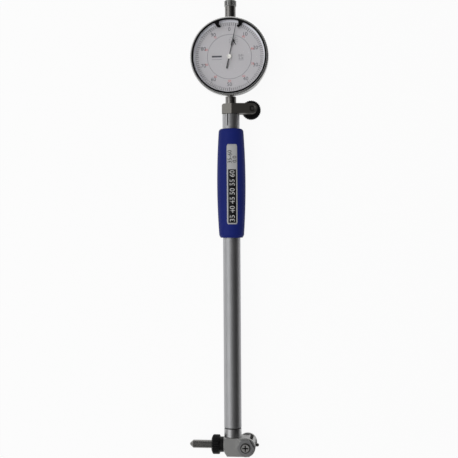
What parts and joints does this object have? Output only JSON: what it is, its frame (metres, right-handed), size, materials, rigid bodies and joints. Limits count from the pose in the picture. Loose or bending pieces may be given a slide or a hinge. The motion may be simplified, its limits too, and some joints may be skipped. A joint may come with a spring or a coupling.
{
  "type": "dial bore gauge",
  "caption": "Dial bore gauge with a two-point centring head, long tube, barrel grip and a clamped dial indicator, lying on its back.",
  "frame": {"origin": "middle of the gauge's overall box, on the floor that it lies on", "axes": "+Y along the stem from the measuring head to the dial, +X along the measuring axis towards the plunger, +Z out of the dial"},
  "size_m": [0.0615, 0.3426, 0.0258],
  "materials": {
    "steel_satin": "satin ground steel with fine vertical grain",
    "steel_polished": "polished steel",
    "tube_chrome": "satin chrome plate",
    "black_knurl": "black oxide finish",
    "grip_blue": "blue satin plastic",
    "clamp_nickel": "dull nickel plate",
    "case_metal": "satin silver case",
    "bezel_chrome": "bright chrome plate",
    "ring_black": "black plastic",
    "crystal_clear": "clear crystal",
    "dial_face": "light grey printed dial",
    "hand_black": "black enamel",
    "brass_plain": "plain brass",
    "spring_steel": "spring steel",
    "rubber_black": "black rubber"
  },
  "bodies": {
    "gauge": {"head_block": "steel_satin", "neck_collar": "steel_polished", "seal_ring": "rubber_black", "crank_pin": "steel_polished", "plunger_bush": "brass_plain", "bridge_screw_near": "steel_polished", "bridge_screw_far": "steel_polished", "bridge_springs": "spring_steel", "tube": "tube_chrome", "rod_spring": "spring_steel", "rod_spring_stop": "brass_plain", "upper_rod_guide": "brass_plain", "grip": "grip_blue", "collet_sleeve": "tube_chrome", "clamp_ring": "clamp_nickel"},
    "anvil": {"anvil_rod": "steel_polished"},
    "nut": {"lock_nut": "black_knurl"},
    "plunger_unit": {"plunger": "steel_polished", "plunger_tip": "steel_polished"},
    "crank": {"bell_crank": "steel_polished"},
    "centring_bridge": {"bridge": "steel_satin"},
    "rod": {"push_rod": "steel_polished"},
    "knob": {"clamp_knob": "black_knurl", "clamp_screw": "steel_polished"},
    "indicator": {"indicator_case": "case_metal", "case_back": "case_metal", "back_screws": "steel_polished", "stem": "steel_polished", "guard_tube": "steel_polished", "guard_cap": "bezel_chrome", "lower_spindle_bush": "brass_plain", "upper_spindle_bush": "brass_plain", "plate_pillars": "brass_plain", "middle_plate": "brass_plain", "front_plate": "brass_plain", "plate_screws": "steel_polished", "dial_centre": "dial_face", "guide_rail": "brass_plain", "return_spring": "spring_steel"},
    "bezel_unit": {"bezel": "bezel_chrome", "bezel_ring": "ring_black", "crystal": "crystal_clear", "dial_ring": "dial_face"},
    "marker_left": {"limit_marker_left": "ring_black"},
    "marker_right": {"limit_marker_right": "ring_black"},
    "spindle_unit": {"spindle": "steel_polished", "contact_point": "steel_polished", "guide_pin": "steel_polished"},
    "drive_train": {"rack_pinion": "steel_polished", "drive_gear": "brass_plain"},
    "pointer_staff": {"centre_pinion": "steel_polished", "pointer": "hand_black"},
    "takeup": {"takeup_staff": "steel_polished", "takeup_gear": "brass_plain", "hairspring": "spring_steel", "counter_hand": "hand_black"}
  },
  "joints": [
    {"name": "push_rod_slide", "type": "slide", "parent": "gauge", "child": "rod", "axis": [0, 1, 0], "range_m": [0, 0.0014], "deforming": ["rod_spring"]},
    {"name": "plunger_slide", "type": "slide", "parent": "gauge", "child": "plunger_unit", "axis": [-1, 0, 0], "range_m": [0, 0.00143]},
    {"name": "bell_crank_turn", "type": "hinge", "parent": "gauge", "child": "crank", "pos_m": [0.00575, -0.15975, 0.0125], "axis": [0, 0, -1], "range_deg": [0, 20.45]},
    {"name": "spindle_slide", "type": "slide", "parent": "indicator", "child": "spindle_unit", "axis": [0, 1, 0], "range_m": [0, 0.00143], "deforming": ["return_spring"]},
    {"name": "drive_gear_turn", "type": "hinge", "parent": "indicator", "child": "drive_train", "pos_m": [-0.00125, 0.11383, 0.0125], "axis": [0, 0, 1], "range_deg": [0, 51.41]},
    {"name": "pointer_turn", "type": "hinge", "parent": "indicator", "child": "pointer_staff", "pos_m": [0.00175, 0.12555, 0.0125], "axis": [0, 0, -1], "range_deg": [0, 514.08]},
    {"name": "counter_hand_turn", "type": "hinge", "parent": "indicator", "child": "takeup", "pos_m": [0.00475, 0.13727, 0.0125], "axis": [0, 0, 1], "range_deg": [0, 51.41]},
    {"name": "bridge_slide", "type": "slide", "parent": "gauge", "child": "centring_bridge", "axis": [-1, 0, 0], "range_m": [0, 0.002], "stiffness_N_per_m": 800, "springref_m": -0.001, "deforming": ["bridge_springs"]},
    {"name": "bezel_turn", "type": "hinge", "parent": "indicator", "child": "bezel_unit", "pos_m": [0.00175, 0.12555, 0.0125], "axis": [0, 0, 1], "continuous": true},
    {"name": "left_marker_turn", "type": "hinge", "parent": "bezel_unit", "child": "marker_left", "pos_m": [0.00175, 0.12555, 0.0125], "axis": [0, 0, 1], "range_deg": [-13, 150]},
    {"name": "right_marker_turn", "type": "hinge", "parent": "bezel_unit", "child": "marker_right", "pos_m": [0.00175, 0.12555, 0.0125], "axis": [0, 0, -1], "range_deg": [-13, 150]},
    {"name": "indicator_slide", "type": "slide", "parent": "gauge", "child": "indicator", "axis": [0, 1, 0], "range_m": [0, 0.008]},
    {"name": "clamp_knob_turn", "type": "hinge", "parent": "gauge", "child": "knob", "pos_m": [0.01731, 0.0878, 0.01004], "axis": [0.1564, 0, 0.9877], "range_deg": [-180, 180]},
    {"name": "lock_nut_turn", "type": "hinge", "parent": "gauge", "child": "nut", "pos_m": [-0.01405, -0.16375, 0.0125], "axis": [1, 0, 0], "range_deg": [-180, 180]},
    {"name": "anvil_slide", "type": "slide", "parent": "gauge", "child": "anvil", "axis": [-1, 0, 0], "range_m": [0, 0.004]}
  ],
  "couplings": [
    {"joint": "plunger_slide", "follows": "push_rod_slide", "ratio": 1},
    {"joint": "bell_crank_turn", "follows": "push_rod_slide", "rad_per_m": 250},
    {"joint": "spindle_slide", "follows": "push_rod_slide", "ratio": 1},
    {"joint": "drive_gear_turn", "follows": "push_rod_slide", "rad_per_m": 628.32},
    {"joint": "pointer_turn", "follows": "push_rod_slide", "rad_per_m": 6283.2},
    {"joint": "counter_hand_turn", "follows": "push_rod_slide", "rad_per_m": 628.32}
  ]
}
